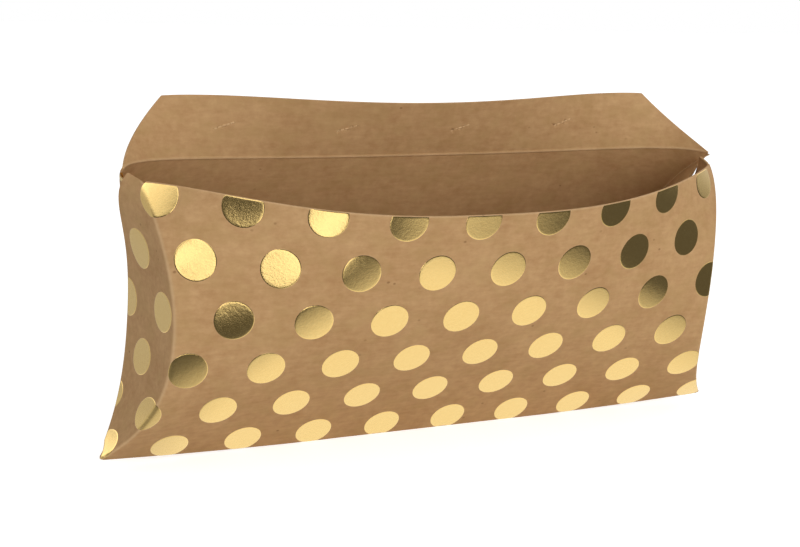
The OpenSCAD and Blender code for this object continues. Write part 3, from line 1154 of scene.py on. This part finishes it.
@dataclass
class Studio:
    """A plain white studio: floor, soft lamps, world and camera."""

    lens: float = 66.44
    place: Triple = (-0.17071, -0.33043, 0.11448)
    yaw: float = 26.29
    pitch: float = 11.18
    roll: float = 1.85
    floor_size: float = 6.0
    floor_white: float = 0.93
    floor_glow: float = 0.62
    brightest: float = 1.6
    paper_left: tuple[float, float] = (0.047, 0.072)
    paper_right: tuple[float, float] = (0.064, 0.122)
    paper_back: tuple[float, float] = (0.03, 0.08)
    table_front: float = 0.1
    table_back: float = 0.5
    strip_azimuth: float = -19.0
    wall_front: float = 0.12
    wall_back: float = 0.45
    sky: float = 0.75
    sky_sides: float = 0.3
    room: float = 0.54
    lamp_aim: Triple = (0.0, -0.01, 0.04)

    def camera(self) -> None:
        """Put the camera where the photograph was taken from."""
        yaw, pitch, roll = (math.radians(a) for a in (self.yaw, self.pitch, self.roll))
        ahead = Vector((math.sin(yaw) * math.cos(pitch), math.cos(yaw) * math.cos(pitch),
                        -math.sin(pitch)))
        right = Vector((math.cos(yaw), -math.sin(yaw), 0.0))
        up = right.cross(ahead)
        rolled = right * math.cos(roll) + up * math.sin(roll)
        upright = up * math.cos(roll) - right * math.sin(roll)
        data = bpy.data.cameras.new("photo camera")
        data.lens = self.lens
        data.sensor_width = 36.0
        data.sensor_fit = "HORIZONTAL"
        data.clip_start = 0.01
        camera = bpy.data.objects.new("photo camera", data)
        turned = Matrix((rolled, upright, -ahead)).transposed().to_4x4()
        camera.matrix_world = Matrix.Translation(self.place) @ turned
        bpy.context.scene.collection.objects.link(camera)
        bpy.context.scene.camera = camera

    def floor(self) -> None:
        """Lay a white floor that keeps a soft shadow."""
        half = self.floor_size / 2
        mesh = bpy.data.meshes.new("floor")
        mesh.from_pydata([(-half, -half, 0.0), (half, -half, 0.0), (half, half, 0.0),
                          (-half, half, 0.0)], [], [(0, 1, 2, 3)])
        material, recipe = finish_material("white floor")
        seen, mirrored = recipe.rays("Camera"), recipe.rays("Glossy")
        surface = recipe.add("ShaderNodeBsdfPrincipled", None, {
            "Base Color": (self.floor_white,) * 3, "Roughness": 0.9, "Specular IOR Level": 0.1})
        glow = recipe.add("ShaderNodeEmission", None, {
            "Color": (1.0, 1.0, 1.0), "Strength": seen * self.floor_glow})
        lit = recipe.add("ShaderNodeAddShader", None, {0: surface, 1: glow})
        mirror = recipe.add("ShaderNodeEmission", None, {
            "Color": self.mirrored_floor(recipe), "Strength": self.brightest})
        both = recipe.add("ShaderNodeMixShader", None, {0: mirrored, 1: lit, 2: mirror})
        recipe.add("ShaderNodeOutputMaterial", None, {"Surface": both})
        mesh.materials.append(material)
        floor = bpy.data.objects.new("floor", mesh)
        bpy.context.scene.collection.objects.link(floor)
        floor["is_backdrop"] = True

    def mirrored_floor(self, recipe: Recipe) -> Wire:
        """What the foil mirrors of the floor: white paper, and a darker table round it.

        The paper lies askew under the box. A bright strip of window light lies across the
        table in front, on the left.

        Args:
            recipe: The floor's material.

        Returns:
            Its colour, as a share of the brightest level.
        """
        place = recipe.add("ShaderNodeTexCoord", output="Object")

        def along(way: Triple) -> Wire:
            """Distance from the middle of the box along one direction."""
            return recipe.add("ShaderNodeVectorMath", {"operation": "DOT_PRODUCT"}, {
                0: place, 1: way}, "Value")

        half = math.sqrt(0.5)
        paper = ((1 - along((-half, -half, 0.0)).between(*self.paper_left))
                 * (1 - along((half, -half, 0.0)).between(*self.paper_right))
                 * (1 - along((0.0, 1.0, 0.0)).between(*self.paper_back)))
        ahead, aside = (along(way) for way in self.strip_ways())
        strip = (1 - (aside / ahead).size().between(0.07, 0.17)) * ahead.between(0.088, 0.102)
        table = recipe.mix(along((0.0, 1.0, 0.0)).between(-0.06, 0.02),
                           self.grey(self.table_front), self.grey(self.table_back))
        sheet = recipe.mix(paper, table, self.grey(1.0))
        return recipe.mix(strip, sheet, self.grey(self.brightest))

    def strip_ways(self) -> tuple[Triple, Triple]:
        """The way along the strip of window light on the floor, and the way across it."""
        turn = math.radians(self.strip_azimuth)
        along = (math.sin(turn), -math.cos(turn), 0.0)
        return along, (-along[1], along[0], 0.0)

    def grey(self, level: float) -> Colour:
        """A grey, as a share of the brightest level."""
        share = level / self.brightest
        return share, share, share

    def lamp(self, name: str, place: Triple, size: float, power: float) -> None:
        """Hang one square soft lamp that looks at the box, and that the foil doesn't mirror.

        Args:
            name: The lamp's name.
            place: Where it hangs.
            size: Its side.
            power: Its power in watts.
        """
        data = bpy.data.lights.new(name, "AREA")
        data.shape = "SQUARE"
        data.size = size
        data.energy = power
        lamp = bpy.data.objects.new(name, data)
        turned = (Vector(self.lamp_aim) - Vector(place)).to_track_quat("-Z", "Y").to_matrix()
        lamp.matrix_world = Matrix.Translation(place) @ turned.to_4x4()
        lamp.visible_glossy = False
        bpy.context.scene.collection.objects.link(lamp)

    def world(self) -> None:
        """White for the camera, a plain dim room as light, and uneven walls for the foil."""
        world = bpy.data.worlds.new("studio")
        bpy.context.scene.world = world
        world.use_nodes = True
        recipe = Recipe(world.node_tree)
        seen, mirrored = recipe.rays("Camera"), recipe.rays("Glossy")
        way = recipe.add("ShaderNodeTexCoord", output="Generated")
        rise = recipe.add("ShaderNodeSeparateXYZ", None, {0: way}, "Z")
        back = recipe.add("ShaderNodeSeparateXYZ", None, {0: way}, "Y")
        ahead, aside = (recipe.add("ShaderNodeVectorMath", {"operation": "DOT_PRODUCT"}, {
            0: way, 1: turn}, "Value") for turn in self.strip_ways())
        strip = (1 - aside.size().between(0.08, 0.18)) * ahead.between(0.5, 0.6)
        sky = self.sky + self.sky_sides * aside.size().between(0.3, 0.8)
        walls = (self.wall_front + self.wall_back * back.between(-0.3, 0.3)
                 + sky * rise.between(0.1, 0.45))
        walls = walls + strip * (self.brightest - walls)
        room = self.room + mirrored * (walls - self.room)
        strength = room + seen * (1.0 - room)
        light = recipe.add("ShaderNodeBackground", None, {
            "Color": (1.0, 1.0, 1.0), "Strength": strength})
        recipe.add("ShaderNodeOutputWorld", None, {"Surface": light})

    def build(self) -> None:
        """Set up the whole studio."""
        self.camera()
        self.floor()
        self.lamp("front soft lamp", (0.0, -1.2, 0.4), 0.7, 4.9)
        self.lamp("right soft lamp", (0.6, -1.05, 0.4), 0.7, 1.7)
        self.world()
        bpy.context.scene.view_settings.view_transform = "Standard"


def box_size() -> list[list[float]]:
    """The whole object's box, as plain lists."""
    low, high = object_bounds()
    return [[float(value) for value in corner] for corner in (low, high)]


def main() -> None:
    """Build the studio and every piece of the box."""
    logging.basicConfig(level=logging.INFO, format="%(message)s")
    sizes = {"cad": box_size()}
    Studio().build()
    shop = Workshop(Blank())
    pieces = Panels(shop).build() + ClosureFlap(shop).build()
    pieces += [EndFlap(shop, side, end).build() for side in Side for end in End]
    for side in Side:
        pieces += FoilDots(shop, side).build()
    for piece in pieces:
        log.info("%s: %d faces, rides on %s", piece.name, len(piece.data.polygons),
                 " and ".join(body_of(piece)))
    sizes["visual"] = box_size()


if __name__ == "__main__":
    main()
